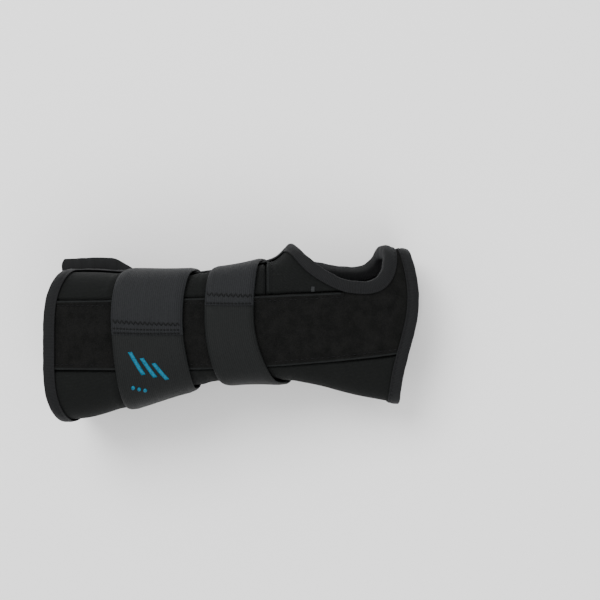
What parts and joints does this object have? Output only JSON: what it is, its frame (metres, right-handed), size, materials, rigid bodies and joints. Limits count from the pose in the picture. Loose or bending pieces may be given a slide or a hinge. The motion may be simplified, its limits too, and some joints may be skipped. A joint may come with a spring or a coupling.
{
  "type": "wrist splint",
  "caption": "Left wrist splint of dark fabric panels with edge binding, a thumb hole, an aluminium stay in a palm pocket, and elastic straps with hook tabs.",
  "frame": {"origin": "bottom centre of the object's box, on the surface that the splint's back lies on", "axes": "+X from the forearm end to the finger end, +Y to the thumb side, +Z out of the palm side"},
  "size_m": [0.2358, 0.1106, 0.083],
  "materials": {
    "loop_fabric": "matt brushed loop fabric",
    "side_fabric": "matt fine knit laminate",
    "lining": "matt terry lining",
    "binding_tape": "soft sheen stretch tape",
    "stay_metal": "satin rolled sheet",
    "stay_tip": "soft dipped vinyl",
    "strap_elastic": "woven elastic with a loop face",
    "hook_tape": "moulded nylon hooks"
  },
  "bodies": {
    "shell": {"palmar_pocket_cover": "loop_fabric", "radial_panel": "side_fabric", "thenar_panel": "side_fabric", "ulnar_panel": "side_fabric", "dorsal_panel": "side_fabric", "palmar_liner": "lining", "dorsal_liner": "lining", "forearm_binding": "binding_tape", "hand_binding": "binding_tape", "thumb_binding": "binding_tape", "palm_edge_binding": "binding_tape", "back_edge_binding": "binding_tape", "forearm_strap_anchor": "strap_elastic", "wrist_strap_anchor": "strap_elastic"},
    "stay": {"palmar_stay": "stay_metal", "stay_tip_forearm": "stay_tip", "stay_tip_hand": "stay_tip"},
    "forearm_strap_lift": {"forearm_strap_side": "strap_elastic"},
    "forearm_strap_peel": {"forearm_strap_tab": "strap_elastic", "forearm_strap_hook_patch": "hook_tape"},
    "wrist_strap_lift": {"wrist_strap_side": "strap_elastic"},
    "wrist_strap_peel": {"wrist_strap_tab": "strap_elastic", "wrist_strap_hook_patch": "hook_tape"}
  },
  "joints": [
    {"name": "stay_slide", "type": "hinge", "parent": "shell", "child": "stay", "pos_m": [-0.08902, 0.00829, -0.52061], "axis": [0, -1, 0], "range_deg": [0, 10.5]},
    {"name": "forearm_lift", "type": "hinge", "parent": "shell", "child": "forearm_strap_lift", "pos_m": [-0.04088, 0.02879, 0.0167], "axis": [-0.9876, -0.0439, -0.1509], "range_deg": [0, 80]},
    {"name": "forearm_peel", "type": "hinge", "parent": "forearm_strap_lift", "child": "forearm_strap_peel", "pos_m": [-0.03969, 0.03813, 0.06621], "axis": [-0.9897, 0.0709, -0.1247], "range_deg": [0, 110]},
    {"name": "wrist_lift", "type": "hinge", "parent": "shell", "child": "wrist_strap_lift", "pos_m": [0.01176, 0.03367, 0.0178], "axis": [-0.8508, -0.5124, -0.1163], "range_deg": [0, 80]},
    {"name": "wrist_peel", "type": "hinge", "parent": "wrist_strap_lift", "child": "wrist_strap_peel", "pos_m": [0.00794, 0.04078, 0.06284], "axis": [-0.9966, -0.0558, -0.0613], "range_deg": [0, 110]}
  ]
}
